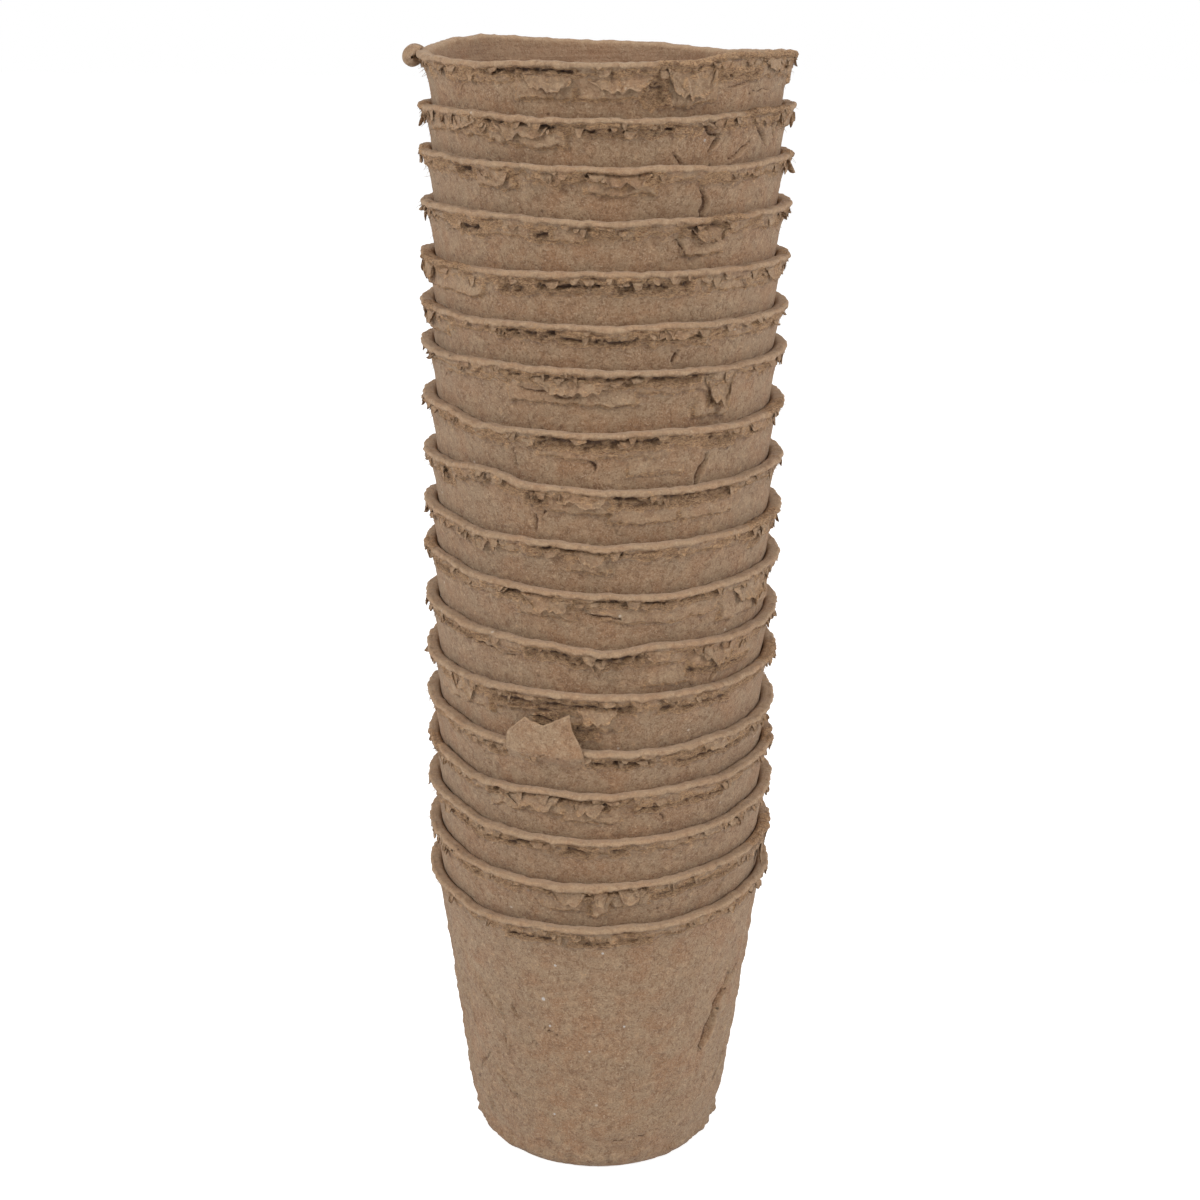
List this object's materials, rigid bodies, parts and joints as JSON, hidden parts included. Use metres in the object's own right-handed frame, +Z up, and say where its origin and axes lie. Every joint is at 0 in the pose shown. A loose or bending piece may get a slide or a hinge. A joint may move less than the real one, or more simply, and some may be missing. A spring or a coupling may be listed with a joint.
{
  "type": "stack of peat pots",
  "caption": "Tall stack of nested round peat pots for seedlings, moulded from thin brown pulp, with torn, flaky lips; each pot lifts off the one below.",
  "frame": {"origin": "centre of the lowest pot's flat base, on the surface that the stack stands on", "axes": "+Z up the stack; -Y is the side that the picture shows and +X is its right"},
  "size_m": [0.0838, 0.08, 0.2521],
  "materials": {
    "peat_pulp": "matt, fibrous"
  },
  "bodies": {
    "pot_01": {"pot_01": "peat_pulp"},
    "pot_02": {"pot_02": "peat_pulp"},
    "pot_03": {"pot_03": "peat_pulp"},
    "pot_04": {"pot_04": "peat_pulp"},
    "pot_05": {"pot_05": "peat_pulp"},
    "pot_06": {"pot_06": "peat_pulp"},
    "pot_07": {"pot_07": "peat_pulp"},
    "pot_08": {"pot_08": "peat_pulp"},
    "pot_09": {"pot_09": "peat_pulp"},
    "pot_10": {"pot_10": "peat_pulp"},
    "pot_11": {"pot_11": "peat_pulp"},
    "pot_12": {"pot_12": "peat_pulp"},
    "pot_13": {"pot_13": "peat_pulp"},
    "pot_14": {"pot_14": "peat_pulp"},
    "pot_15": {"pot_15": "peat_pulp"},
    "pot_16": {"pot_16": "peat_pulp"},
    "pot_17": {"pot_17": "peat_pulp"},
    "pot_18": {"pot_18": "peat_pulp"}
  },
  "joints": [
    {"name": "pot_02_lift", "type": "slide", "parent": "pot_01", "child": "pot_02", "axis": [0, 0, 1], "range_m": [0, 0.068]},
    {"name": "pot_03_lift", "type": "slide", "parent": "pot_02", "child": "pot_03", "axis": [0, 0, 1], "range_m": [0, 0.068]},
    {"name": "pot_04_lift", "type": "slide", "parent": "pot_03", "child": "pot_04", "axis": [0, 0, 1], "range_m": [0, 0.068]},
    {"name": "pot_05_lift", "type": "slide", "parent": "pot_04", "child": "pot_05", "axis": [0, 0, 1], "range_m": [0, 0.068]},
    {"name": "pot_06_lift", "type": "slide", "parent": "pot_05", "child": "pot_06", "axis": [0, 0, 1], "range_m": [0, 0.068]},
    {"name": "pot_07_lift", "type": "slide", "parent": "pot_06", "child": "pot_07", "axis": [0, 0, 1], "range_m": [0, 0.068]},
    {"name": "pot_08_lift", "type": "slide", "parent": "pot_07", "child": "pot_08", "axis": [0, 0, 1], "range_m": [0, 0.068]},
    {"name": "pot_09_lift", "type": "slide", "parent": "pot_08", "child": "pot_09", "axis": [0, 0, 1], "range_m": [0, 0.068]},
    {"name": "pot_10_lift", "type": "slide", "parent": "pot_09", "child": "pot_10", "axis": [0, 0, 1], "range_m": [0, 0.068]},
    {"name": "pot_11_lift", "type": "slide", "parent": "pot_10", "child": "pot_11", "axis": [0, 0, 1], "range_m": [0, 0.068]},
    {"name": "pot_12_lift", "type": "slide", "parent": "pot_11", "child": "pot_12", "axis": [0, 0, 1], "range_m": [0, 0.068]},
    {"name": "pot_13_lift", "type": "slide", "parent": "pot_12", "child": "pot_13", "axis": [0, 0, 1], "range_m": [0, 0.068]},
    {"name": "pot_14_lift", "type": "slide", "parent": "pot_13", "child": "pot_14", "axis": [0, 0, 1], "range_m": [0, 0.068]},
    {"name": "pot_15_lift", "type": "slide", "parent": "pot_14", "child": "pot_15", "axis": [0, 0, 1], "range_m": [0, 0.068]},
    {"name": "pot_16_lift", "type": "slide", "parent": "pot_15", "child": "pot_16", "axis": [0, 0, 1], "range_m": [0, 0.068]},
    {"name": "pot_17_lift", "type": "slide", "parent": "pot_16", "child": "pot_17", "axis": [0, 0, 1], "range_m": [0, 0.068]},
    {"name": "pot_18_lift", "type": "slide", "parent": "pot_17", "child": "pot_18", "axis": [0, 0, 1], "range_m": [0, 0.068]}
  ]
}
